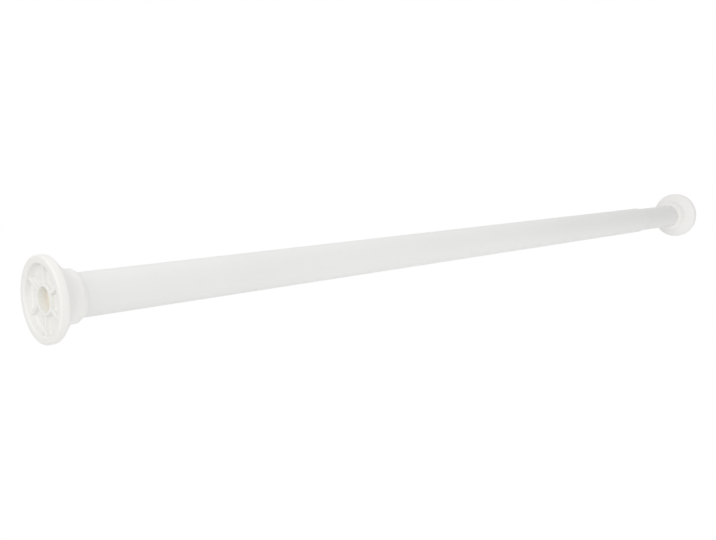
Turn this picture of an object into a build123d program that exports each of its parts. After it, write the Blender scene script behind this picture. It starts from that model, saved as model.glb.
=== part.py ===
from build123d import *
import os
from math import cos, radians, tan

# Telescopic shower curtain rod, held between two walls by an inner spring.
# Origin at the middle of the near wall face, +X along the rod to the far wall, +Z up.
# Sizes are in millimetres and angles in degrees.

# Tubes
OUTER_TUBE_DIA = 25.0
OUTER_TUBE_WALL = 0.7
OUTER_TUBE_LENGTH = 648.0
INNER_TUBE_WALL = 0.7
TUBE_SLIDE_GAP = 0.3      # radial, inner tube in outer tube
TUBE_EDGE = 0.2           # bevel left by deburring
PRESS_GAP = 0.05          # radial, pieces that are pressed together

# Travel of the rod
SHORTEN_TRAVEL = 56.0     # how far the set length can still be shortened
SPRING_TRAVEL = 18.0      # how far the wall spring gives
COLLAPSED_GAP = 1.9       # left between tube mouth and far collar when fully shortened

# End flange: one outer form at both ends, its socket and spigot made for the tube that it carries
RIM_DIA = 48.0
RIM_BAND = 4.7            # wall face to the start of the flare, rubber pad included
RIM_ROUND = 1.6
FLARE_ANGLE = 48.0        # from the rod's axis
SHELL_WALL = 2.0
NECK_ROUND = 8.0
NECK_ROOM = 0.95          # most of the room beside the neck that its round may take
COLLAR_WALL = 2.55        # round the outer tube
COLLAR_LENGTH = 4.9
NOSE_LENGTH = 3.0         # bevelled end of the collar
NOSE_LIP = 0.55
WEB_AT = 9.5              # wall face to the web that closes the socket
WEB_THICK = 2.0
HUB_DIA = 17.4
HUB_WALL = 1.7
RIB_COUNT = 6
RIB_THICK = 1.8
HUB_HOLE = 1.6            # pad's back to the floor of the hole in the hub
HUB_FLOOR = 1.8
SPIGOT_LENGTH = 14.5      # from the web into the tube
SPIGOT_LEAD = 2.0

# Rubber wall pad: a dish with spokes that plugs the flange and wraps over its lip
PAD_FACE_WIDTH = 4.7
PAD_EDGE = 0.6            # bevel on both edges of the gripping face
PAD_SKIRT = 3.2           # wall face to the end of the rubber on the rim
PAD_SKIN = 1.2            # rubber in front of the flange's lip
PAD_WALL = 1.5            # rubber inside the lip
PAD_DISH = 4.8            # wall face to the floor of the dish
PAD_FLOOR = 1.0
SPOKE_SETBACK = 1.9       # front edges of spokes and hub behind the wall face
LIP_THICK = 1.6

# Twist lock
SLEEVE_GAP = 0.25         # radial, split sleeve in outer tube
FINGER_WALL = 2.75
TAPER_ANGLE = 5.0
TAPER_GAP = 0.12
TAPER_LENGTH = 24.0
SLEEVE_END_WALL = 8.0
SLOT_LENGTH = 22.5
SLOT_WIDTH = 2.0
GRIP_GROOVES = 6
GRIP_PITCH = 3.2
FIRST_GROOVE = 2.4        # from the sleeve's mouth
GRIP_DEPTH = 0.5
CONE_LENGTH = 22.0
CONE_PROUD = 3.0          # cone's large end outside the sleeve when locked
CONE_TRAVEL = 4.0         # backing off to unlock
KEY_SIDE_GAP = 0.2
KEY_TOP_GAP = 0.75
KEY_END_GAP = 1.0
RUN_GAP = 0.08            # radial, spindle in its bores

# Spindle and its fittings
SPINDLE_DIA = 6.0
SPINDLE_FLATS = 5.0
SPINDLE_TIP_GAP = 2.0     # to the near spigot when fully shortened
SPINDLE_TIP = 2.0         # tip beyond the clip
SHOULDER_DIA = 11.0
SHOULDER_THICK = 2.0
END_THREAD_DIA = 5.0
END_THREAD_PROUD = 1.5
CLIP_DIA = 11.0
CLIP_THICK = 0.8
CLIP_GROOVE_DIA = 4.8
CLIP_MOUTH = 4.2
CLIP_GAP = 0.5            # left beside the cone when it is backed off
THRUST_GAP = 0.1          # sleeve to shoulder, washer to plug
STOP_WASHER_DIA = 14.0
STOP_WASHER_THICK = 1.2
NUT_FLATS = 8.0
NUT_HEIGHT = 4.0

# Wall spring
SPRING_LENGTH = 45.0
SPRING_MEAN_DIA = 16.0
SPRING_WIRE = 1.8
SPRING_TURNS = 7
WIRE_SIDES = 8            # flats that stand for the round of the wire
SEAT_DIA = 20.0
SEAT_THICK = 1.5
SEAT_BOSS_LENGTH = 3.0
SEAT_BOSS_GAP = 0.3

# Plug in the inner tube's end
PLUG_HEAD = 2.5
PLUG_HEAD_SETBACK = 0.1
PLUG_DEPTH = 20.0
PLUG_LEAD = 1.5

# Radii that several pieces share
OUTER_R = OUTER_TUBE_DIA / 2
OUTER_BORE_R = OUTER_R - OUTER_TUBE_WALL
INNER_R = OUTER_BORE_R - TUBE_SLIDE_GAP
INNER_BORE_R = INNER_R - INNER_TUBE_WALL
RIM_R = RIM_DIA / 2
COLLAR_R = OUTER_R + PRESS_GAP + COLLAR_WALL
NOSE_R = OUTER_R + PRESS_GAP + NOSE_LIP
HUB_R = HUB_DIA / 2
HUB_BORE_R = HUB_R - HUB_WALL
DISH_R = RIM_R - PAD_FACE_WIDTH
LIP_BORE_R = DISH_R + PAD_WALL
LIP_R = LIP_BORE_R + LIP_THICK
SPINDLE_R = SPINDLE_DIA / 2
SPRING_BORE_R = (SPRING_MEAN_DIA - SPRING_WIRE) / 2

# Places along the flange, from its wall face
FLARE_SLOPE = tan(radians(FLARE_ANGLE))
NECK_AT = RIM_BAND + (RIM_R - COLLAR_R) / FLARE_SLOPE
NOSE_AT = NECK_AT + COLLAR_LENGTH
FLANGE_LENGTH = NOSE_AT + NOSE_LENGTH
PAD_BACK = PAD_DISH + PAD_FLOOR
SOCKET_AT = WEB_AT + WEB_THICK
SPIGOT_END = SOCKET_AT + SPIGOT_LENGTH

# Places along the rod, from the near wall
MOUTH_AT = SOCKET_AT + OUTER_TUBE_LENGTH
FAR_COLLAR_AT = MOUTH_AT + SHORTEN_TRAVEL + SPRING_TRAVEL + COLLAPSED_GAP
REST_LENGTH = FAR_COLLAR_AT + FLANGE_LENGTH
TIP_AT = SPIGOT_END + SPINDLE_TIP_GAP + SHORTEN_TRAVEL
CLIP_AT = TIP_AT + SPINDLE_TIP
CONE_AT = CLIP_AT + CLIP_THICK + CLIP_GAP + CONE_TRAVEL
SLEEVE_AT = CONE_AT + CONE_PROUD
SLEEVE_END = SLEEVE_AT + TAPER_LENGTH + SLEEVE_END_WALL
SHOULDER_AT = SLEEVE_END + THRUST_GAP
SEAT_AT = SHOULDER_AT + SHOULDER_THICK
SPRING_AT = SEAT_AT + SEAT_THICK
PLUG_AT = SPRING_AT + SPRING_LENGTH
INNER_TUBE_AT = PLUG_AT + PLUG_HEAD
PLUG_END = INNER_TUBE_AT + PLUG_DEPTH
STOP_AT = PLUG_END + THRUST_GAP
NUT_AT = STOP_AT + STOP_WASHER_THICK
SPINDLE_END = NUT_AT + NUT_HEIGHT + END_THREAD_PROUD
INNER_TUBE_END = REST_LENGTH - SOCKET_AT


def turned(points, rounds=None):
    """Solid of revolution about X from (along, radius) points, with a round for each corner."""
    if rounds is None:
        outline = Polyline(*points, close=True)
    else:
        outline = FilletPolyline(*points, radius=rounds, close=True)
    return revolve(make_face(outline), Axis.X)


def ring(start, end, bore_r, outer_r):
    """Plain ring along X between two places."""
    return turned([(start, bore_r), (start, outer_r), (end, outer_r), (end, bore_r)])


def rod(start, end, radius):
    """Plain round bar along X between two places."""
    return Pos((start + end) / 2, 0, 0) * Rot(0, 90, 0) * Cylinder(radius, end - start)


def radial_plates(start, end, reach, thickness, count):
    """Flat plates that stand out from the axis, the first one straight up."""
    length = end - start
    plate = Pos((start + end) / 2, 0, reach / 2) * Box(length, thickness, reach)
    return Part() + [Rot(360 * k / count, 0, 0) * plate for k in range(count)]


def tube(start, end, bore_r, outer_r):
    """Steel tube with the outer edges of its cut ends deburred."""
    return turned(
        [
            (start, bore_r),
            (start, outer_r - TUBE_EDGE),
            (start + TUBE_EDGE, outer_r),
            (end - TUBE_EDGE, outer_r),
            (end, outer_r - TUBE_EDGE),
            (end, bore_r),
        ]
    )


def neck_round():
    """Round between flare and collar, as large as both leave room for."""
    flare_length = (RIM_R - COLLAR_R) / FLARE_SLOPE / cos(radians(FLARE_ANGLE))
    room = min(COLLAR_LENGTH, flare_length - RIM_ROUND)
    return min(NECK_ROUND, NECK_ROOM * room / tan(radians(FLARE_ANGLE / 2)))


def bell_r(along):
    """Radius of the bell's inside at a place from the wall face."""
    return RIM_R - (along - RIM_BAND) * FLARE_SLOPE - SHELL_WALL / cos(radians(FLARE_ANGLE))


def flange_shell(socket_r):
    """Bell of the flange with its lip, its ledge for the pad, its web and the tube's socket."""
    corners = [
        (PAD_SKIN, LIP_BORE_R, 0),
        (PAD_SKIN, LIP_R, 0),
        (PAD_SKIRT, LIP_R, 0),
        (PAD_SKIRT, RIM_R, 0),
        (RIM_BAND, RIM_R, RIM_ROUND),
        (NECK_AT, COLLAR_R, neck_round()),
        (NOSE_AT, COLLAR_R, 0),
        (FLANGE_LENGTH, NOSE_R, 0),
        (FLANGE_LENGTH, socket_r, 0),
        (SOCKET_AT, socket_r, 0),
        (SOCKET_AT, HUB_R, 0),
        (WEB_AT, HUB_R, 0),
        (WEB_AT, bell_r(WEB_AT), 0),
        (PAD_BACK, min(bell_r(PAD_BACK), DISH_R), 0),
        (PAD_BACK, LIP_BORE_R, 0),
    ]
    return turned([(a, r) for a, r, _ in corners], [fillet_r for _, _, fillet_r in corners])


def flange_hub():
    """Hub tube from the pad's back to the spigot's end, with a floor between its two bores."""
    floor_at = PAD_BACK + HUB_HOLE
    return turned(
        [
            (PAD_BACK, HUB_BORE_R),
            (PAD_BACK, HUB_R),
            (SPIGOT_END, HUB_R),
            (SPIGOT_END, HUB_BORE_R),
            (floor_at + HUB_FLOOR, HUB_BORE_R),
            (floor_at + HUB_FLOOR, 0),
            (floor_at, 0),
            (floor_at, HUB_BORE_R),
        ]
    )


def flange(tube_r, tube_bore_r):
    """One end flange for a tube of that size, wall face at x = 0 and collar towards +X."""
    spigot_r = tube_bore_r - PRESS_GAP
    hub_core = rod(0, SPIGOT_END, HUB_R - HUB_WALL / 2)
    web_middle = WEB_AT + WEB_THICK / 2
    bell_space = turned(
        [
            (PAD_BACK, 0),
            (PAD_BACK, bell_r(PAD_BACK) + SHELL_WALL / 2),
            (web_middle, bell_r(web_middle) + SHELL_WALL / 2),
            (web_middle, 0),
        ]
    )
    stiffeners = radial_plates(PAD_BACK, web_middle, RIM_R, RIB_THICK, RIB_COUNT) & bell_space
    spigot_space = turned(
        [
            (web_middle, 0),
            (web_middle, spigot_r),
            (SPIGOT_END - SPIGOT_LEAD, spigot_r),
            (SPIGOT_END, (HUB_R + spigot_r) / 2),
            (SPIGOT_END, 0),
        ]
    )
    crush_ribs = radial_plates(web_middle, SPIGOT_END, spigot_r, RIB_THICK, RIB_COUNT) & spigot_space
    return flange_shell(tube_r + PRESS_GAP) + (stiffeners + crush_ribs - hub_core) + flange_hub()


def wall_pad():
    """Soft dish that grips the wall with its rim, stiffened by a hub ring and spokes."""
    dish = turned(
        [
            (SPOKE_SETBACK, HUB_BORE_R),
            (SPOKE_SETBACK, HUB_R),
            (PAD_DISH, HUB_R),
            (PAD_DISH, DISH_R),
            (PAD_EDGE, DISH_R),
            (0, DISH_R + PAD_EDGE),
            (0, RIM_R - PAD_EDGE),
            (PAD_EDGE, RIM_R),
            (PAD_SKIRT, RIM_R),
            (PAD_SKIRT, LIP_R),
            (PAD_SKIN, LIP_R),
            (PAD_SKIN, LIP_BORE_R),
            (PAD_BACK, LIP_BORE_R),
            (PAD_BACK, HUB_BORE_R),
        ]
    )
    spokes = radial_plates(SPOKE_SETBACK, PAD_BACK, DISH_R + PAD_WALL / 2, RIB_THICK, RIB_COUNT)
    return dish + (spokes - rod(0, PAD_BACK, HUB_R - HUB_WALL / 2))


def far_end(piece):
    """The same piece turned round to face the far wall."""
    return Pos(REST_LENGTH, 0, 0) * Rot(0, 0, 180) * piece


def taper_r(along):
    """Radius of the sleeve's tapered bore at a place along the rod."""
    mouth_r = OUTER_BORE_R - SLEEVE_GAP - FINGER_WALL
    return mouth_r - (along - SLEEVE_AT) * tan(radians(TAPER_ANGLE))


def lock_sleeve():
    """Split sleeve whose fingers spread against the outer tube's bore."""
    sleeve_r = OUTER_BORE_R - SLEEVE_GAP
    taper_end = SLEEVE_AT + TAPER_LENGTH
    spindle_bore_r = SPINDLE_R + RUN_GAP
    body = turned(
        [
            (SLEEVE_AT, taper_r(SLEEVE_AT)),
            (SLEEVE_AT, sleeve_r),
            (SLEEVE_END, sleeve_r),
            (SLEEVE_END, spindle_bore_r),
            (taper_end, spindle_bore_r),
            (taper_end, taper_r(taper_end)),
        ]
    )
    for k in range(GRIP_GROOVES):
        middle = SLEEVE_AT + FIRST_GROOVE + GRIP_PITCH * k
        body -= turned(
            [
                (middle - GRIP_DEPTH, sleeve_r),
                (middle - GRIP_DEPTH, sleeve_r + GRIP_DEPTH),
                (middle + GRIP_DEPTH, sleeve_r + GRIP_DEPTH),
                (middle + GRIP_DEPTH, sleeve_r),
                (middle, sleeve_r - GRIP_DEPTH),
            ]
        )
    slot_middle = SLEEVE_AT + SLOT_LENGTH / 2
    for turn in (0, 90):
        body -= Pos(slot_middle, 0, 0) * Rot(turn, 0, 0) * Box(SLOT_LENGTH, SLOT_WIDTH, OUTER_TUBE_DIA)
    return body


def lock_cone():
    """Tapered nut drawn into the sleeve by the spindle's thread, kept from turning by two keys."""
    cone_end = CONE_AT + CONE_LENGTH
    bore_r = SPINDLE_R + RUN_GAP
    body = turned(
        [
            (CONE_AT, bore_r),
            (CONE_AT, taper_r(CONE_AT) - TAPER_GAP),
            (cone_end, taper_r(cone_end) - TAPER_GAP),
            (cone_end, bore_r),
        ]
    )
    key_reach = OUTER_BORE_R - SLEEVE_GAP - KEY_TOP_GAP
    key_width = SLOT_WIDTH - 2 * KEY_SIDE_GAP
    keys = radial_plates(CONE_AT + KEY_END_GAP, cone_end - KEY_END_GAP, key_reach, key_width, 2)
    return body + (keys - rod(CONE_AT, cone_end, (bore_r + taper_r(cone_end)) / 2))


def lock_spindle():
    """Steel spindle: plain run for the thread, shoulder, flatted run for the plug, thinner end for the nut."""
    body = rod(TIP_AT, STOP_AT, SPINDLE_R)
    for side in (-1, 1):
        flat_middle = side * (SPINDLE_FLATS + SPINDLE_DIA) / 2
        flat = Box(STOP_AT - SEAT_AT, SPINDLE_DIA, SPINDLE_DIA)
        body -= Pos((SEAT_AT + STOP_AT) / 2, flat_middle, 0) * flat
    body -= ring(CLIP_AT, CLIP_AT + CLIP_THICK, CLIP_GROOVE_DIA / 2, SPINDLE_DIA)
    body += rod(SHOULDER_AT, SEAT_AT, SHOULDER_DIA / 2)
    return body + rod(STOP_AT, SPINDLE_END, END_THREAD_DIA / 2)


def cone_clip():
    """Open retaining clip in the spindle's groove, which stops the cone from running off."""
    clip = ring(CLIP_AT, CLIP_AT + CLIP_THICK, CLIP_GROOVE_DIA / 2, CLIP_DIA / 2)
    mouth = Pos(CLIP_AT + CLIP_THICK / 2, 0, -CLIP_DIA / 2) * Box(2 * CLIP_THICK, CLIP_MOUTH, CLIP_DIA)
    return clip - mouth


def spring_seat():
    """Flanged washer that centres the spring on the spindle."""
    bore_r = SPINDLE_R + RUN_GAP
    boss_r = SPRING_BORE_R - SEAT_BOSS_GAP
    boss_end = SPRING_AT + SEAT_BOSS_LENGTH
    return turned(
        [
            (SEAT_AT, bore_r),
            (SEAT_AT, SEAT_DIA / 2),
            (SPRING_AT, SEAT_DIA / 2),
            (SPRING_AT, boss_r),
            (boss_end, boss_r),
            (boss_end, bore_r),
        ]
    )


def tension_spring():
    """Wall spring with both ends ground flat."""
    pitch = SPRING_LENGTH / SPRING_TURNS
    path = Helix(pitch, SPRING_LENGTH, SPRING_MEAN_DIA / 2, center=(SPRING_AT, 0, 0), direction=(1, 0, 0))
    section = Plane(origin=path @ 0, z_dir=path % 0) * RegularPolygon(SPRING_WIRE / 2, WIRE_SIDES)
    coil = sweep(section, path=path, is_frenet=True)
    return coil & rod(SPRING_AT, PLUG_AT, SPRING_MEAN_DIA)


def tube_plug():
    """Plug in the inner tube's end, with a keyed bore that makes the spindle turn with the tube."""
    plug_r = INNER_BORE_R - PRESS_GAP
    body = turned(
        [
            (PLUG_AT, 0),
            (PLUG_AT, INNER_R - PLUG_HEAD_SETBACK),
            (INNER_TUBE_AT, INNER_R - PLUG_HEAD_SETBACK),
            (INNER_TUBE_AT, plug_r),
            (PLUG_END - PLUG_LEAD, plug_r),
            (PLUG_END, plug_r - PLUG_LEAD / 2),
            (PLUG_END, 0),
        ]
    )
    bore = rod(PLUG_AT, PLUG_END, SPINDLE_R + RUN_GAP)
    middle = (PLUG_AT + PLUG_END) / 2
    key_space = Pos(middle, 0, 0) * Box(PLUG_END - PLUG_AT, SPINDLE_FLATS + 2 * RUN_GAP, OUTER_TUBE_DIA)
    return body - (bore & key_space)


def stop_nut():
    """Hexagon nut that holds the stop washer on the spindle's end."""
    hexagon = Plane.YZ.offset(NUT_AT) * RegularPolygon(NUT_FLATS / 2, 6, major_radius=False)
    return extrude(hexagon, NUT_HEIGHT) - rod(NUT_AT, NUT_AT + NUT_HEIGHT, END_THREAD_DIA / 2)


def pieces():
    """Every piece of the rod by name, in place."""
    pad = wall_pad()
    return {
        "outer_tube": tube(SOCKET_AT, MOUTH_AT, OUTER_BORE_R, OUTER_R),
        "inner_tube": tube(INNER_TUBE_AT, INNER_TUBE_END, INNER_BORE_R, INNER_R),
        "near_flange": flange(OUTER_R, OUTER_BORE_R),
        "far_flange": far_end(flange(INNER_R, INNER_BORE_R)),
        "near_wall_pad": pad,
        "far_wall_pad": far_end(pad),
        "lock_sleeve": lock_sleeve(),
        "lock_cone": lock_cone(),
        "lock_spindle": lock_spindle(),
        "cone_clip": cone_clip(),
        "spring_seat": spring_seat(),
        "tension_spring": tension_spring(),
        "tube_plug": tube_plug(),
        "stop_washer": ring(STOP_AT, NUT_AT, END_THREAD_DIA / 2, STOP_WASHER_DIA / 2),
        "stop_nut": stop_nut(),
    }


os.makedirs("parts", exist_ok=True)
for name, piece in pieces().items():
    export_step(piece, f"parts/{name}.step")
print(f"rest length {REST_LENGTH:.1f}, tube mouth at {MOUTH_AT:.1f}, inner tube {INNER_TUBE_END - INNER_TUBE_AT:.1f}")
print(f"shortest {REST_LENGTH - SHORTEN_TRAVEL - SPRING_TRAVEL:.1f}, sleeve at {SLEEVE_AT:.1f}, seat at {SPRING_AT:.1f}")
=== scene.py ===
"""Looks of a white telescopic shower curtain rod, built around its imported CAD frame.

Lengths are in metres unless a name ends in _mm. The frame's origin is the middle of the near wall
face, +X runs along the rod to the far wall and +Z is up.
"""
import logging
import math
from dataclasses import dataclass, field
from enum import Enum
from typing import Any

import bpy
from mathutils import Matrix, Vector


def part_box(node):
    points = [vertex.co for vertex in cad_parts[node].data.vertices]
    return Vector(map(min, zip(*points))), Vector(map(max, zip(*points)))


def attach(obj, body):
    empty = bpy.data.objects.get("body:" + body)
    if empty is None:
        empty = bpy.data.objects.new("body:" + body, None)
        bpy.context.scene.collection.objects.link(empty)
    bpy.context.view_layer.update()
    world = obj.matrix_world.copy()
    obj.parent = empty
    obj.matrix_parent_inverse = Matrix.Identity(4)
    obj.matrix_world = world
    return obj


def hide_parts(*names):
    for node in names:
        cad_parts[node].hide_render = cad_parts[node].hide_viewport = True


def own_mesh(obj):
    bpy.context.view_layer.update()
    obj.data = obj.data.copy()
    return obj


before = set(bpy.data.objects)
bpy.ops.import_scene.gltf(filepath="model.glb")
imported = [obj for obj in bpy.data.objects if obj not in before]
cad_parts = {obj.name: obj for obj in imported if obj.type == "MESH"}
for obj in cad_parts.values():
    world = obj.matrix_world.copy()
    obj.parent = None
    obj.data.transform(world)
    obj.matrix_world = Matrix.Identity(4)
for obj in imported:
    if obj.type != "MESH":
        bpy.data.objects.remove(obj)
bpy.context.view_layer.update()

MM = 0.001
# Points closer than this are one point
WELD = 1e-7
# Faces that meet at a smaller angle are shaded as one curve
SMOOTH_ANGLE = math.radians(35)
ALONG_ROD = Vector((1.0, 0.0, 0.0))
ACROSS_ROD = Vector((0.0, 1.0, 0.0))
WHITE = (1.0, 1.0, 1.0, 1.0)
# Sockets of a Mix node that mixes colours: its two inputs and its output
COLOUR_A, COLOUR_B, COLOUR_OUT = 6, 7, 2
LOG = logging.getLogger("curtain_rod")
Place = tuple[float, float, float]


class End(Enum):
    """The rod's two ends, as the frame names their pieces."""

    NEAR = "near"
    FAR = "far"


class Body(Enum):
    """Bodies of the frame that carry the pieces made here."""

    OUTER = "outer"
    INNER = "inner"
    SPINDLE = "spindle"


def linear(hex_colour: str) -> tuple[float, float, float, float]:
    """Turn an sRGB hex colour into linear RGBA.

    Args:
        hex_colour: colour such as "#EDEDEB".

    Returns:
        Linear red, green, blue and an alpha of 1.
    """
    parts = [int(hex_colour[i:i + 2], 16) / 255 for i in (1, 3, 5)]
    levels = [c / 12.92 if c <= 0.04045 else ((c + 0.055) / 1.055) ** 2.4 for c in parts]
    return (*levels, 1.0)


def add_node(
    tree: bpy.types.NodeTree, kind: str, inputs: dict[str | int, Any] | None = None, **settings: Any
) -> bpy.types.Node:
    """Add a node with its settings, and set or link its inputs.

    Args:
        tree: node tree to add to.
        kind: node type, such as "ShaderNodeBump".
        inputs: input name or index to a value or to another node's output socket.
        **settings: properties of the node itself.

    Returns:
        The new node.
    """
    made = tree.nodes.new(kind)
    for name, value in settings.items():
        setattr(made, name, value)
    for name, value in (inputs or {}).items():
        if isinstance(value, bpy.types.NodeSocket):
            tree.links.new(value, made.inputs[name])
        else:
            made.inputs[name].default_value = value
    return made


def new_material(name: str) -> bpy.types.Material:
    """Make an empty node material.

    Args:
        name: the material's name.

    Returns:
        The material, with no nodes in its tree.
    """
    material = bpy.data.materials.new(name)
    material.use_nodes = True
    material.node_tree.nodes.clear()
    return material


def per_metre(size_mm: float) -> float:
    """Give the texture scale at which a feature of a pattern is about size_mm wide."""
    return 1.0 / (size_mm * MM)


def lay_skin(
    tree: bpy.types.NodeTree,
    colour: bpy.types.NodeSocket,
    relief: bpy.types.NodeSocket,
    gloss: tuple[float, float],
    strength: float,
    depth_mm: float,
    shader_values: dict[str, float],
) -> None:
    """Close a finish with its shader: one fine relief lifts the surface and varies its gloss.

    Args:
        tree: node tree of the material.
        colour: socket that gives the colour.
        relief: socket that gives the height of the relief, from 0 to 1.
        gloss: roughness where the relief is low and where it is high.
        strength: how strongly the relief shows.
        depth_mm: height of the relief.
        shader_values: other inputs of the shader, the same all over the surface.
    """
    bump = add_node(tree, "ShaderNodeBump", {
        "Height": relief, "Strength": strength, "Distance": depth_mm * MM})
    roughness = add_node(tree, "ShaderNodeMapRange", {
        "Value": relief, "To Min": gloss[0], "To Max": gloss[1]})
    skin = add_node(tree, "ShaderNodeBsdfPrincipled", {
        "Base Color": colour, "Roughness": roughness.outputs["Result"],
        "Normal": bump.outputs["Normal"], **shader_values})
    add_node(tree, "ShaderNodeOutputMaterial", {"Surface": skin.outputs["BSDF"]})


@dataclass(frozen=True)
class PowderCoat:
    """White polyester powder baked on a steel tube: an even satin skin with a faint orange peel."""

    name: str
    colour: str
    shade: str
    roughness: float = 0.62
    gloss_spread: float = 0.05
    ior: float = 1.50
    drift_mm: float = 90.0
    peel_mm: float = 2.2
    peel_depth_mm: float = 0.012
    peel_strength: float = 0.5

    def build(self) -> bpy.types.Material:
        """Make the coat.

        Returns:
            The node material.
        """
        material = new_material(self.name)
        tree = material.node_tree
        place = add_node(tree, "ShaderNodeTexCoord").outputs["Object"]
        # The powder lies a little thicker and thinner along the tube, so its white drifts slowly
        drift = add_node(tree, "ShaderNodeTexNoise", {
            "Vector": place, "Scale": per_metre(self.drift_mm), "Detail": 2.0, "Roughness": 0.5})
        colour = add_node(tree, "ShaderNodeMix", {
            "Factor": drift.outputs["Fac"], COLOUR_A: linear(self.colour),
            COLOUR_B: linear(self.shade)}, data_type="RGBA")
        # Orange peel of melted powder: soft bumps a couple of millimetres across
        peel = add_node(tree, "ShaderNodeTexNoise", {
            "Vector": place, "Scale": per_metre(self.peel_mm), "Detail": 1.0, "Roughness": 0.4})
        gloss = self.roughness - self.gloss_spread, self.roughness + self.gloss_spread
        lay_skin(tree, colour.outputs[COLOUR_OUT], peel.outputs["Fac"], gloss,
                 self.peel_strength, self.peel_depth_mm, {"IOR": self.ior})
        return material


@dataclass(frozen=True)
class MouldedPlastic:
    """Injection-moulded plastic from a spark-eroded tool: a soft satin with a fine even grain.

    Round the axis lies a warm painted shade for the hub's hole. A radius of 0 leaves it out.
    """

    name: str
    colour: str
    shade: str
    roughness: float = 0.5
    gloss_spread: float = 0.06
    ior: float = 1.49
    flow_mm: float = 14.0
    grain_mm: float = 0.7
    grain_depth_mm: float = 0.012
    grain_strength: float = 0.4
    # Warm painted shade in the hub's hole: its colour, and its radius, full out to the core share
    hole_painted_shade: str = "#F3EEE2"
    hole_shade_mm: float = 0.0
    hole_shade_core: float = 0.7

    def build(self) -> bpy.types.Material:
        """Make the plastic.

        Returns:
            The node material.
        """
        material = new_material(self.name)
        tree = material.node_tree
        place = add_node(tree, "ShaderNodeTexCoord").outputs["Object"]
        # Melt flow leaves slow clouds in the colour
        flow = add_node(tree, "ShaderNodeTexNoise", {
            "Vector": place, "Scale": per_metre(self.flow_mm), "Detail": 2.0, "Distortion": 0.6})
        colour = add_node(tree, "ShaderNodeMix", {
            "Factor": flow.outputs["Fac"], COLOUR_A: linear(self.colour),
            COLOUR_B: linear(self.shade)}, data_type="RGBA")
        if self.hole_shade_mm:
            # Warm painted shade: creamier plastic round the axis, deep in the hub's hole
            across = add_node(tree, "ShaderNodeVectorMath", {
                0: place, 1: (0.0, 1.0, 1.0)}, operation="MULTIPLY")
            radius = add_node(tree, "ShaderNodeVectorMath", {
                0: across.outputs["Vector"]}, operation="LENGTH")
            hole_shade_amount = add_node(tree, "ShaderNodeMapRange", {
                "Value": radius.outputs["Value"], "From Min": self.hole_shade_core * self.hole_shade_mm * MM,
                "From Max": self.hole_shade_mm * MM, "To Min": 1.0, "To Max": 0.0})
            colour = add_node(tree, "ShaderNodeMix", {
                "Factor": hole_shade_amount.outputs["Result"], COLOUR_A: colour.outputs[COLOUR_OUT],
                COLOUR_B: linear(self.hole_painted_shade)}, data_type="RGBA")
        # Spark grain of the tool, drawn coarser than its real 0.2 mm so that it shows at all
        grain = add_node(tree, "ShaderNodeTexVoronoi", {
            "Vector": place, "Scale": per_metre(self.grain_mm), "Smoothness": 1.0},
            feature="SMOOTH_F1")
        gloss = self.roughness - self.gloss_spread, self.roughness + self.gloss_spread
        lay_skin(tree, colour.outputs[COLOUR_OUT], grain.outputs["Distance"], gloss,
                 self.grain_strength, self.grain_depth_mm, {"IOR": self.ior})
        return material


@dataclass(frozen=True)
class PressedRubber:
    """White thermoplastic rubber pressed in a blasted mould: matt, with fine mineral specks.

    The specks start where their noise passes speck_from and are full at speck_full.
    """

    name: str
    colour: str
    speck: str
    roughness: float = 0.68
    gloss_spread: float = 0.08
    ior: float = 1.52
    speck_mm: float = 0.9
    speck_from: float = 0.5
    speck_full: float = 0.8
    grain_mm: float = 0.8
    grain_depth_mm: float = 0.02
    grain_strength: float = 0.5

    def build(self) -> bpy.types.Material:
        """Make the rubber.

        Returns:
            The node material.
        """
        material = new_material(self.name)
        tree = material.node_tree
        place = add_node(tree, "ShaderNodeTexCoord").outputs["Object"]
        # Chalk filler shows as faint darker specks
        specks = add_node(tree, "ShaderNodeTexNoise", {
            "Vector": place, "Scale": per_metre(self.speck_mm), "Detail": 3.0})
        amount = add_node(tree, "ShaderNodeMapRange", {
            "Value": specks.outputs["Fac"], "From Min": self.speck_from,
            "From Max": self.speck_full})
        colour = add_node(tree, "ShaderNodeMix", {
            "Factor": amount.outputs["Result"], COLOUR_A: linear(self.colour),
            COLOUR_B: linear(self.speck)}, data_type="RGBA")
        # Blasted mould face, which leaves no gloss
        grain = add_node(tree, "ShaderNodeTexNoise", {
            "Vector": place, "Scale": per_metre(self.grain_mm), "Detail": 4.0, "Roughness": 0.6})
        gloss = self.roughness - self.gloss_spread, self.roughness + self.gloss_spread
        lay_skin(tree, colour.outputs[COLOUR_OUT], grain.outputs["Fac"], gloss,
                 self.grain_strength, self.grain_depth_mm, {"IOR": self.ior})
        return material


@dataclass(frozen=True)
class DrawnSteel:
    """Turned or drawn steel, bare or zinc-plated: bright, with fine lines round the rod's axis."""

    name: str
    colour: str
    shade: str
    roughness: float
    line_mm: float
    line_stretch: float = 40.0
    line_depth_mm: float = 0.01
    line_strength: float = 0.3
    gloss_below: float = 0.08
    gloss_above: float = 0.12

    def build(self) -> bpy.types.Material:
        """Make the steel.

        Returns:
            The node material.
        """
        material = new_material(self.name)
        tree = material.node_tree
        place = add_node(tree, "ShaderNodeTexCoord").outputs["Object"]
        # Tool marks: fine along the rod and stretched round it
        fine, long = per_metre(self.line_mm), per_metre(self.line_stretch * self.line_mm)
        lines_place = add_node(tree, "ShaderNodeMapping", {
            "Vector": place, "Scale": (fine, long, long)})
        lines = add_node(tree, "ShaderNodeTexNoise", {
            "Vector": lines_place.outputs["Vector"], "Scale": 1.0, "Detail": 3.0})
        colour = add_node(tree, "ShaderNodeMix", {
            "Factor": lines.outputs["Fac"], COLOUR_A: linear(self.colour),
            COLOUR_B: linear(self.shade)}, data_type="RGBA")
        gloss = self.roughness - self.gloss_below, self.roughness + self.gloss_above
        lay_skin(tree, colour.outputs[COLOUR_OUT], lines.outputs["Fac"], gloss,
                 self.line_strength, self.line_depth_mm, {"Metallic": 1.0})
        return material


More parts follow.
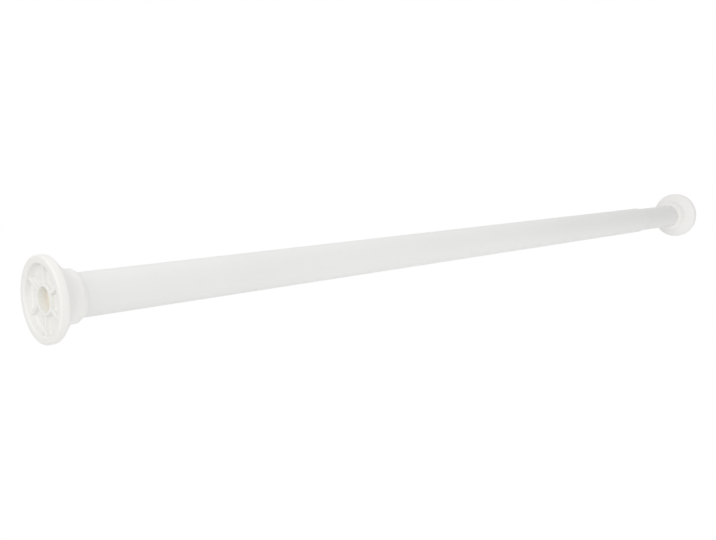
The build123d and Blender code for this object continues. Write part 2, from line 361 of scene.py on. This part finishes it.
def along(node_name: str) -> tuple[float, float]:
    """Give where a CAD node starts and ends along the rod, in metres."""
    low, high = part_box(node_name)
    return low[0], high[0]


def reach(node_name: str) -> float:
    """Give how far a CAD node stands out from the rod's axis, in metres."""
    return max(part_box(node_name)[1][1:])


def rounded(
    corners: list[tuple[float, float, float]], steps: int
) -> list[tuple[float, float]]:
    """Round the corners of a closed outline.

    Args:
        corners: place along the rod, distance across it and radius of the round of each corner,
            in metres.
        steps: straight runs in each round.

    Returns:
        Corners of the outline, with the first one again at the end.
    """
    outline = []
    for count, (place, across, radius) in enumerate(corners):
        corner = Vector((place, across))
        if not radius:
            outline.append(tuple(corner))
            continue
        back = (Vector(corners[count - 1][:2]) - corner).normalized()
        ahead = (Vector(corners[(count + 1) % len(corners)][:2]) - corner).normalized()
        half = back.angle(ahead) / 2
        centre = corner + (back + ahead).normalized() * radius / math.sin(half)
        first = (corner + back * radius / math.tan(half) - centre).normalized()
        last = (corner + ahead * radius / math.tan(half) - centre).normalized()
        outline += [
            tuple(centre + first.slerp(last, step / steps) * radius) for step in range(steps + 1)]
    return outline + outline[:1]


def pick(*pieces: bpy.types.Object) -> None:
    """Select some pieces alone and make the first one active.

    Args:
        *pieces: objects to select.
    """
    bpy.ops.object.select_all(action="DESELECT")
    for piece in pieces:
        piece.select_set(True)
    bpy.context.view_layer.objects.active = pieces[0]


def close_edit() -> None:
    """Turn all faces of the piece in edit mode outwards and leave edit mode."""
    bpy.ops.mesh.select_all(action="SELECT")
    bpy.ops.mesh.normals_make_consistent(inside=False)
    bpy.ops.object.mode_set(mode="OBJECT")


def draw_profile(name: str, corners: list[tuple[float, float]]) -> bpy.types.Object:
    """Draw an outline in the XZ plane, one corner after another.

    Args:
        name: name of the new piece.
        corners: place along the rod and distance from its axis of each corner, in metres.

    Returns:
        The new object, with edges and no faces yet.
    """
    bpy.ops.object.select_all(action="DESELECT")
    bpy.ops.mesh.primitive_plane_add(size=MM)
    piece = bpy.context.object
    piece.name = piece.data.name = name
    bpy.ops.object.mode_set(mode="EDIT")
    bpy.ops.mesh.select_all(action="SELECT")
    bpy.ops.mesh.merge(type="CENTER")
    pen = (0.0, 0.0)
    for count, corner in enumerate(corners):
        step = (corner[0] - pen[0], 0.0, corner[1] - pen[1])
        if count:
            bpy.ops.mesh.extrude_vertices_move(TRANSFORM_OT_translate={"value": step})
        else:
            bpy.ops.transform.translate(value=step)
        pen = corner
    bpy.ops.object.mode_set(mode="OBJECT")
    return piece


def sweep_round(
    piece: bpy.types.Object, steps: int, turns: int = 1, pitch: float = 0.0
) -> None:
    """Carry a piece's outline round the rod's axis, straight or as a screw, and close it.

    Args:
        piece: object with an outline of edges.
        steps: segments in one turn.
        turns: number of turns.
        pitch: advance along the rod in one turn, in metres.
    """
    screw = piece.modifiers.new("sweep_round", "SCREW")
    screw.axis = "X"
    screw.screw_offset = pitch
    screw.iterations = turns
    screw.steps = screw.render_steps = steps
    pick(piece)
    bpy.ops.object.modifier_apply(modifier=screw.name)
    bpy.ops.object.mode_set(mode="EDIT")
    bpy.ops.mesh.select_all(action="SELECT")
    bpy.ops.mesh.remove_doubles(threshold=WELD)
    bpy.ops.mesh.select_all(action="DESELECT")
    bpy.ops.mesh.select_non_manifold()
    bpy.ops.mesh.fill_holes(sides=0)
    close_edit()


def trim(piece: bpy.types.Object, axis: Vector, low: float, high: float) -> None:
    """Cut a closed piece off flat on two opposite sides and close the cuts.

    Args:
        piece: object to cut.
        axis: direction across both cuts.
        low: lowest place along that direction that stays, in metres.
        high: highest place along that direction that stays, in metres.
    """
    pick(piece)
    bpy.ops.object.mode_set(mode="EDIT")
    for place, keep_above in ((low, True), (high, False)):
        bpy.ops.mesh.select_all(action="SELECT")
        bpy.ops.mesh.bisect(
            plane_co=axis * place, plane_no=axis, use_fill=True, clear_inner=keep_above,
            clear_outer=not keep_above, threshold=WELD)
    close_edit()


def unite(piece: bpy.types.Object, *others: bpy.types.Object) -> None:
    """Make one closed piece of several that reach into each other.

    Args:
        piece: object that stays.
        *others: objects that become part of it.
    """
    pick(piece)
    for other in others:
        joined = piece.modifiers.new("joined", "BOOLEAN")
        joined.operation = "UNION"
        joined.solver = "EXACT"
        joined.object = other
        bpy.ops.object.modifier_apply(modifier=joined.name)
        bpy.data.objects.remove(other)


def twin(piece: bpy.types.Object, name: str) -> bpy.types.Object:
    """Copy a piece with a mesh of its own.

    Args:
        piece: object to copy.
        name: name of the copy.

    Returns:
        The copy.
    """
    copy = piece.copy()
    copy.data = piece.data.copy()
    copy.name = copy.data.name = name
    bpy.context.scene.collection.objects.link(copy)
    return copy


def turn(piece: bpy.types.Object, angles: Place, place: Place = (0.0, 0.0, 0.0)) -> None:
    """Turn a piece about the origin and move it, all in its mesh.

    Args:
        piece: object to turn.
        angles: turns about X, Y and Z, in radians.
        place: where its origin goes.
    """
    pick(piece)
    piece.rotation_euler = angles
    piece.location = place
    bpy.ops.object.transform_apply(location=True, rotation=True, scale=True)


def repeat_round(piece: bpy.types.Object, count: int) -> None:
    """Set copies of a piece evenly round the rod's axis and join them to it.

    Args:
        piece: object to repeat.
        count: pieces in the full round.
    """
    copies = [twin(piece, f"{piece.name}_{step}") for step in range(1, count)]
    for step, copy in enumerate(copies, 1):
        turn(copy, (math.tau * step / count, 0.0, 0.0))
    pick(piece, *copies)
    bpy.ops.object.join()


def dress(node_name: str, material: bpy.types.Material) -> None:
    """Give a CAD node its finish.

    Args:
        node_name: name of the node in the frame.
        material: finish for all its faces.
    """
    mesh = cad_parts[node_name].data
    mesh.materials.clear()
    mesh.materials.append(material)
    LOG.info("dressed %s in %s", node_name, material.name)


def seat(
    piece: bpy.types.Object, node_name: str, material: bpy.types.Material, body: Body
) -> None:
    """Smooth a finished piece, dress it and let it stand for its CAD node.

    Args:
        piece: finished object, closed, with its place in its mesh.
        node_name: CAD node that it stands for.
        material: its finish.
        body: frame body that carries it.
    """
    pick(piece)
    bpy.ops.object.shade_smooth_by_angle(angle=SMOOTH_ANGLE)
    piece.data.materials.clear()
    piece.data.materials.append(material)
    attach(piece, body.value)
    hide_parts(node_name)
    LOG.info("made %s, %d faces", piece.name, len(piece.data.polygons))


@dataclass
class Tubes:
    """Thick outer tube and thin inner tube, both steel with a white powder coat."""

    outer_coat: PowderCoat = PowderCoat("powder_coated_steel_outer", "#EFEFED", "#EAEAE8")
    # The inner coat is a little darker: painted shade for the rod's far end, which gets less light
    inner_coat_painted_shade: PowderCoat = PowderCoat("powder_coated_steel_inner", "#ECECEB", "#E8E8E7")
    wall_mm: float = 0.7
    edge_mm: float = 0.25
    edge_steps: int = 4
    steps: int = 128

    def tube(self, node_name: str) -> bpy.types.Object:
        """Draw one tube down to size, with the outer edges of its cut ends rounded.

        Args:
            node_name: CAD node that gives its length and diameter.

        Returns:
            The tube.
        """
        start, end = along(node_name)
        outer_r = reach(node_name)
        bore_r = outer_r - self.wall_mm * MM
        edge = self.edge_mm * MM
        tube = draw_profile(f"coated_{node_name}", rounded([
            (start, bore_r, 0.0), (start, outer_r, edge), (end, outer_r, edge), (end, bore_r, 0.0),
        ], self.edge_steps))
        sweep_round(tube, self.steps)
        return tube

    def build(self) -> None:
        """Make and coat both tubes."""
        for node_name, coat, body, slot in (
            ("outer_tube", self.outer_coat, Body.OUTER, "coated_tube"),
            ("inner_tube", self.inner_coat_painted_shade, Body.INNER, "coated_inner_tube"),
        ):
            seat(self.tube(node_name), node_name, coat.build(), body)


@dataclass
class WallFlanges:
    """The two moulded flanges and the spoked rubber pads that plug them."""

    # The flange's plastic carries a warm painted shade in the hub's hole
    plastic: MouldedPlastic = MouldedPlastic(
        "moulded_polypropylene_flange", "#F4F3F1", "#F1F0ED", hole_shade_mm=8.5)
    rubber: PressedRubber = PressedRubber("pressed_white_rubber", "#F4F3F0", "#EFEEEA")

    # The pad's rim: width of the gripping face, length of the skirt over the flange's lip,
    # rubber between lip and wall, and thickness of the lip and of the dish's wall inside it
    face_mm: float = 4.7
    skirt_mm: float = 3.2
    skin_mm: float = 1.2
    lip_mm: float = 1.6
    wall_mm: float = 1.5

    # The pad's dish: its depth and floor, and the hub ring and spokes set back from the wall
    dish_mm: float = 4.8
    floor_mm: float = 1.0
    setback_mm: float = 1.9
    hub_mm: float = 17.4
    hub_wall_mm: float = 1.7
    spoke_mm: float = 1.8
    spokes: int = 6

    # Rounds on the face, the crests and the roots, and how far a spoke lies below the ring and
    # the floor, so that no two faces coincide
    edge_mm: float = 1.2
    crest_mm: float = 0.5
    root_mm: float = 1.4
    bite_mm: float = 0.05
    round_steps: int = 5
    steps: int = 144

    def dish(self, rim_r: float) -> bpy.types.Object:
        """Press the pad's round part: gripping face, skirt, dish and hub ring.

        Args:
            rim_r: outer radius, in metres.

        Returns:
            The dish, with its face at the near wall.
        """
        edge, crest, root = self.edge_mm * MM, self.crest_mm * MM, self.root_mm * MM
        skirt, skin = self.skirt_mm * MM, self.skin_mm * MM
        front, floor = self.setback_mm * MM, self.dish_mm * MM
        back = (self.dish_mm + self.floor_mm) * MM
        hub_r, bore_r = self.hub_mm * MM / 2, (self.hub_mm / 2 - self.hub_wall_mm) * MM
        dish_r = rim_r - self.face_mm * MM
        lip_bore_r = dish_r + self.wall_mm * MM
        lip_r = lip_bore_r + self.lip_mm * MM
        dish = draw_profile("near_rubber_pad", rounded([
            (front, bore_r, crest), (front, hub_r, crest), (floor, hub_r, root),
            (floor, dish_r, root), (0.0, dish_r, edge), (0.0, rim_r, edge), (skirt, rim_r, 0.0),
            (skirt, lip_r, 0.0), (skin, lip_r, 0.0), (skin, lip_bore_r, 0.0),
            (back, lip_bore_r, 0.0), (back, bore_r, 0.0),
        ], self.round_steps))
        sweep_round(dish, self.steps)
        return dish

    def spoke(self, rim_r: float) -> bpy.types.Object:
        """Press one upright spoke with a rounded crest and flared roots.

        Args:
            rim_r: outer radius of the pad, in metres.

        Returns:
            The spoke, which reaches into the hub ring, the floor and the wall of the dish.
        """
        crest, root, bite = self.crest_mm * MM, self.root_mm * MM, self.bite_mm * MM
        half = self.spoke_mm * MM / 2
        # The foot runs on under the floor for another radius beyond its flared root
        foot = half + 2 * root
        top, floor = self.setback_mm * MM + bite, self.dish_mm * MM + bite
        under = (self.dish_mm + self.floor_mm / 2) * MM
        # It ends in the middle of the hub ring's wall and of the dish's wall
        low_r = (self.hub_mm - self.hub_wall_mm) * MM / 2
        high_r = rim_r - (self.face_mm - self.wall_mm / 2) * MM
        spoke = draw_profile("spoke", rounded([
            (under, -foot, 0.0), (floor, -foot, 0.0), (floor, -half, root), (top, -half, crest),
            (top, half, crest), (floor, half, root), (floor, foot, 0.0), (under, foot, 0.0),
        ], self.round_steps))
        bpy.ops.object.mode_set(mode="EDIT")
        bpy.ops.mesh.select_all(action="SELECT")
        bpy.ops.mesh.remove_doubles(threshold=WELD)
        bpy.ops.mesh.edge_face_add()
        bpy.ops.transform.translate(value=(0.0, low_r, 0.0))
        bpy.ops.mesh.extrude_region_move(
            TRANSFORM_OT_translate={"value": (0.0, high_r - low_r, 0.0)})
        close_edit()
        turn(spoke, (math.pi / 2, 0.0, 0.0))
        return spoke

    def pad(self) -> bpy.types.Object:
        """Make the near pad of its dish and its spokes.

        Returns:
            The pad.
        """
        rim_r = reach("near_wall_pad")
        dish, spokes = self.dish(rim_r), self.spoke(rim_r)
        repeat_round(spokes, self.spokes)
        unite(dish, spokes)
        return dish

    def build(self) -> None:
        """Dress both flanges, make the near pad and turn a copy of it to face the far wall."""
        plastic, rubber = self.plastic.build(), self.rubber.build()
        for end in End:
            dress(f"{end.value}_flange", plastic)
        near = self.pad()
        far = twin(near, "far_rubber_pad")
        turn(far, (0.0, 0.0, math.pi), (along("far_wall_pad")[1], 0.0, 0.0))
        seat(near, "near_wall_pad", rubber, Body.OUTER)
        seat(far, "far_wall_pad", rubber, Body.INNER)


@dataclass
class TwistLock:
    """Split sleeve, keyed cone, spindle, wall spring and small fittings, inside the tubes."""

    nylon: MouldedPlastic = MouldedPlastic(
        "moulded_natural_nylon", "#E3DDCB", "#D9D2BE", roughness=0.42, ior=1.53)
    zinc: DrawnSteel = DrawnSteel(
        "zinc_plated_turned_steel", "#BFC2C6", "#A7AAB0", roughness=0.32, line_mm=0.12)
    wire: DrawnSteel = DrawnSteel(
        "drawn_spring_steel", "#85868A", "#6B6C70", roughness=0.36, line_mm=0.10)
    nylon_nodes: tuple[str, ...] = ("lock_sleeve", "lock_cone", "tube_plug")
    zinc_nodes: tuple[str, ...] = ("spring_seat", "stop_washer", "stop_nut")
    wire_nodes: tuple[str, ...] = ("cone_clip",)

    # Wall spring
    wire_mm: float = 1.8
    coil_turns: int = 7
    coil_steps: int = 56
    wire_sides: int = 16
    spring_give_mm: float = 18.0

    # Spindle: diameters, across the flats, shoulder and bevels
    bar_mm: float = 6.0
    flats_mm: float = 5.0
    groove_mm: float = 4.8
    end_bar_mm: float = 5.0
    shoulder_mm: float = 2.0
    edge_mm: float = 0.4
    bar_steps: int = 48

    # Its two threads: pitch and depth, and the shares of a pitch where the flank starts to rise
    # and where the crest starts and ends
    lead_pitch_mm: float = 2.0
    lead_depth_mm: float = 0.55
    end_pitch_mm: float = 0.8
    end_depth_mm: float = 0.4
    rise_share: float = 0.3
    crest_share: float = 0.5
    fall_share: float = 0.8

    # How far its parts reach into each other, the crests lie below the bar and the core lies
    # below the roots, so that no two faces coincide
    bite_mm: float = 1.0
    crest_gap_mm: float = 0.02
    core_gap_mm: float = 0.1

    def coil_spring(self) -> bpy.types.Object:
        """Wind the wall spring from round wire and grind both ends flat.

        Returns:
            The spring.
        """
        start, end = along("tension_spring")
        wire_r = self.wire_mm * MM / 2
        coil_r = reach("tension_spring") - wire_r
        bpy.ops.object.select_all(action="DESELECT")
        bpy.ops.mesh.primitive_circle_add(
            vertices=self.wire_sides, radius=wire_r, location=(start, 0.0, coil_r),
            rotation=(math.pi / 2, 0.0, 0.0))
        spring = bpy.context.object
        spring.name = spring.data.name = "wall_spring"
        bpy.ops.object.transform_apply(location=True, rotation=True, scale=True)
        sweep_round(spring, self.coil_steps, self.coil_turns, (end - start) / self.coil_turns)
        trim(spring, ALONG_ROD, start, end)
        return spring

    def thread(
        self, name: str, start: float, end: float, bar_mm: float, depth_mm: float, pitch_mm: float
    ) -> bpy.types.Object:
        """Cut a screw thread with flat crests and roots.

        Args:
            name: name of the piece.
            start: place of its first end along the rod, in metres.
            end: place of its other end.
            bar_mm: diameter over the crests.
            depth_mm: depth of the groove.
            pitch_mm: advance in one turn.

        Returns:
            The threaded bar, closed at both ends.
        """
        pitch = pitch_mm * MM
        crest = (bar_mm / 2 - self.crest_gap_mm) * MM
        root = crest - depth_mm * MM
        # One turn to spare at each end, which the trim takes off
        first = start - pitch
        turns = math.ceil((end - start) / pitch) + 2
        one_turn = (
            (0.0, root), (self.rise_share, root), (self.crest_share, crest),
            (self.fall_share, crest), (1.0, root))
        bar = draw_profile(name, [(first + share * pitch, radius) for share, radius in one_turn])
        sweep_round(bar, self.bar_steps, turns, pitch)
        trim(bar, ALONG_ROD, start, end)
        return bar

    def spindle(self) -> bpy.types.Object:
        """Turn the spindle with its clip groove, shoulder, flats and two threads.

        Returns:
            The spindle.
        """
        tip, end = along("lock_spindle")
        groove, groove_end = along("cone_clip")
        seat_at = along("spring_seat")[0]
        stop_at = along("stop_washer")[0]
        shoulder_at = seat_at - self.shoulder_mm * MM
        edge, bite = self.edge_mm * MM, self.bite_mm * MM
        bar_r, groove_r = self.bar_mm * MM / 2, self.groove_mm * MM / 2
        shoulder_r = reach("lock_spindle")
        core_r = bar_r - (self.lead_depth_mm + self.core_gap_mm) * MM
        end_r = (self.end_bar_mm / 2 - self.end_depth_mm - self.core_gap_mm) * MM
        lead_from, lead_to = groove_end + bite, shoulder_at - bite
        front = draw_profile("spindle", [
            (tip, 0.0), (tip, bar_r - edge), (tip + edge, bar_r), (groove, bar_r),
            (groove, groove_r), (groove_end, groove_r), (groove_end, bar_r), (lead_from, bar_r),
            (lead_from + edge, core_r), (lead_to - edge, core_r), (lead_to, bar_r),
            (shoulder_at, bar_r), (shoulder_at, shoulder_r - edge),
            (shoulder_at + edge, shoulder_r), (seat_at - edge, shoulder_r),
            (seat_at, shoulder_r - edge), (seat_at, 0.0)])
        sweep_round(front, self.bar_steps)
        flatted = draw_profile("spindle_flats", [
            (seat_at - bite, 0.0), (seat_at - bite, bar_r), (stop_at - edge, bar_r),
            (stop_at, bar_r - edge), (stop_at, 0.0)])
        sweep_round(flatted, self.bar_steps)
        trim(flatted, ACROSS_ROD, -self.flats_mm * MM / 2, self.flats_mm * MM / 2)
        stub = draw_profile("spindle_end", [
            (stop_at - bite, 0.0), (stop_at - bite, end_r), (end - edge, end_r),
            (end, end_r - edge), (end, 0.0)])
        sweep_round(stub, self.bar_steps)
        lead = self.thread(
            "lead_thread", lead_from, lead_to, self.bar_mm, self.lead_depth_mm, self.lead_pitch_mm)
        tail = self.thread(
            "end_thread", stop_at - bite, end - edge, self.end_bar_mm, self.end_depth_mm,
            self.end_pitch_mm)
        unite(front, flatted, lead, stub, tail)
        return front

    def build(self) -> None:
        """Dress the moulded and small steel pieces, and make the spindle and the wall spring."""
        nylon, zinc, wire = self.nylon.build(), self.zinc.build(), self.wire.build()
        for names, material in (
            (self.nylon_nodes, nylon), (self.zinc_nodes, zinc), (self.wire_nodes, wire),
        ):
            for name in names:
                dress(name, material)
        seat(self.spindle(), "lock_spindle", zinc, Body.SPINDLE)
        spring = self.coil_spring()
        seat(spring, "tension_spring", wire, Body.SPINDLE)
        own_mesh(spring)


@dataclass
class Lamp:
    """One soft box: a square area lamp aimed at a point on the rod."""

    name: str
    place: Place
    aim: Place
    side: float
    watts: float

    def build(self) -> None:
        """Add the lamp."""
        data = bpy.data.lights.new(self.name, "AREA")
        data.shape = "SQUARE"
        data.size = self.side
        data.energy = self.watts
        lamp = bpy.data.objects.new(self.name, data)
        bpy.context.scene.collection.objects.link(lamp)
        lamp.location = self.place
        line = Vector(self.aim) - Vector(self.place)
        lamp.rotation_euler = line.to_track_quat("-Z", "Y").to_euler()


@dataclass
class Studio:
    """White room: pale floor well below the held rod, even white sky and soft boxes."""

    floor_drop: float = 0.55
    floor_side: float = 12.0
    floor_white: str = "#F4F4F4"
    floor_glow: float = 0.85
    floor_shadow_share: float = 0.25
    sky_light: float = 0.68
    sky_seen: float = 1.0
    lamps: list[Lamp] = field(default_factory=lambda: [
        Lamp("left_soft_box", (-1.0, -0.45, 0.25), (0.0, 0.0, 0.0), 0.8, 2.4),
        Lamp("left_top_soft_box", (-0.6, -0.4, 0.7), (0.0, 0.0, 0.0), 0.6, 0.82),
        Lamp("camera_soft_box", (-0.15, -0.55, 0.2), (0.05, 0.0, 0.0), 0.4, 0.38),
        Lamp("near_top_soft_box", (0.0, -0.1, 0.7), (0.05, 0.0, 0.0), 0.5, 0.44),
        Lamp("back_top_soft_box", (0.25, 0.4, 0.8), (0.25, 0.0, 0.0), 0.6, 0.65),
        Lamp("low_near_soft_box", (0.1, -0.25, -0.45), (0.15, 0.0, 0.0), 0.6, 0.14),
        Lamp("low_middle_soft_box", (0.4, -0.25, -0.45), (0.4, 0.0, 0.0), 0.6, 0.54),
        Lamp("low_far_soft_box", (1.1, -0.35, -0.45), (0.62, 0.0, 0.0), 0.5, 0.45),
        Lamp("far_soft_box", (0.35, -0.3, 0.25), (0.74, 0.0, 0.0), 0.3, 0.14),
    ])

    def seen_ray(self, tree: bpy.types.NodeTree) -> bpy.types.NodeSocket:
        """Add nodes that tell rays which show the background from rays that light the object.

        Args:
            tree: node tree of the world or the floor.

        Returns:
            Socket that is 1 for camera, glossy and transmission rays.
        """
        path = add_node(tree, "ShaderNodeLightPath")
        first = add_node(tree, "ShaderNodeMath", {
            0: path.outputs["Is Camera Ray"], 1: path.outputs["Is Glossy Ray"]},
            operation="MAXIMUM")
        both = add_node(tree, "ShaderNodeMath", {
            0: first.outputs["Value"], 1: path.outputs["Is Transmission Ray"]},
            operation="MAXIMUM")
        return both.outputs["Value"]

    def build_sky(self) -> None:
        """Make the world: white where it is seen, a plain even light where it lights."""
        world = bpy.data.worlds.new("white_studio")
        bpy.context.scene.world = world
        world.use_nodes = True
        tree = world.node_tree
        tree.nodes.clear()
        light = add_node(tree, "ShaderNodeBackground", {
            "Color": WHITE, "Strength": self.sky_light})
        seen = add_node(tree, "ShaderNodeBackground", {"Color": WHITE, "Strength": self.sky_seen})
        mix = add_node(tree, "ShaderNodeMixShader", {
            0: self.seen_ray(tree), 1: light.outputs["Background"], 2: seen.outputs["Background"]})
        add_node(tree, "ShaderNodeOutputWorld", {"Surface": mix.outputs["Shader"]})

    def build_floor(self) -> None:
        """Lay the floor under the rod; it keeps the rod's shadow."""
        bpy.ops.object.select_all(action="DESELECT")
        bpy.ops.mesh.primitive_plane_add(
            size=self.floor_side, location=(0.0, 0.0, -self.floor_drop))
        floor = bpy.context.object
        floor.name = "studio_floor"
        material = new_material("matt_white_floor")
        tree = material.node_tree
        paint = linear(self.floor_white)
        matt = add_node(tree, "ShaderNodeBsdfDiffuse", {"Color": paint})
        # Where it is seen, most of its white is its own and a share of it takes the shadow
        share = tuple(self.floor_shadow_share * c for c in paint[:3]) + (1.0,)
        shadowed = add_node(tree, "ShaderNodeBsdfDiffuse", {"Color": share})
        glow = add_node(tree, "ShaderNodeEmission", {"Strength": self.floor_glow})
        seen = add_node(tree, "ShaderNodeAddShader", {
            0: shadowed.outputs["BSDF"], 1: glow.outputs["Emission"]})
        mix = add_node(tree, "ShaderNodeMixShader", {
            0: self.seen_ray(tree), 1: matt.outputs["BSDF"], 2: seen.outputs["Shader"]})
        add_node(tree, "ShaderNodeOutputMaterial", {"Surface": mix.outputs["Shader"]})
        floor.data.materials.append(material)

    def build(self) -> None:
        """Set the view, the sky, the floor and the lamps."""
        bpy.context.scene.view_settings.view_transform = "Standard"
        self.build_sky()
        self.build_floor()
        for lamp in self.lamps:
            lamp.build()


@dataclass
class PhotoCamera:
    """Camera where the photograph was taken from: close to the near end, looking along the rod."""

    place_mm: Place = (-191.73, -424.48, 81.01)
    heading_deg: float = 44.755
    pitch_down_deg: float = 8.491
    lens_mm: float = 42.52
    sensor_mm: float = 36.0
    clip_mm: float = 10.0

    def build(self) -> None:
        """Add the camera and make it the scene's own."""
        data = bpy.data.cameras.new("photo_camera")
        data.sensor_fit = "HORIZONTAL"
        data.sensor_width = self.sensor_mm
        data.lens = self.lens_mm
        data.clip_start = self.clip_mm * MM
        camera = bpy.data.objects.new("photo_camera", data)
        bpy.context.scene.collection.objects.link(camera)
        camera.location = Vector(self.place_mm) * MM
        camera.rotation_euler = (
            math.radians(90 - self.pitch_down_deg), 0.0, math.radians(self.heading_deg - 90))
        bpy.context.scene.camera = camera


def main() -> None:
    """Build the sub-assemblies, the studio and the camera in order."""
    logging.basicConfig(level=logging.INFO, format="%(name)s: %(message)s")
    for assembly in (Tubes(), WallFlanges(), TwistLock(), Studio(), PhotoCamera()):
        assembly.build()
        LOG.info("built %s", type(assembly).__name__)


if __name__ == "__main__":
    main()
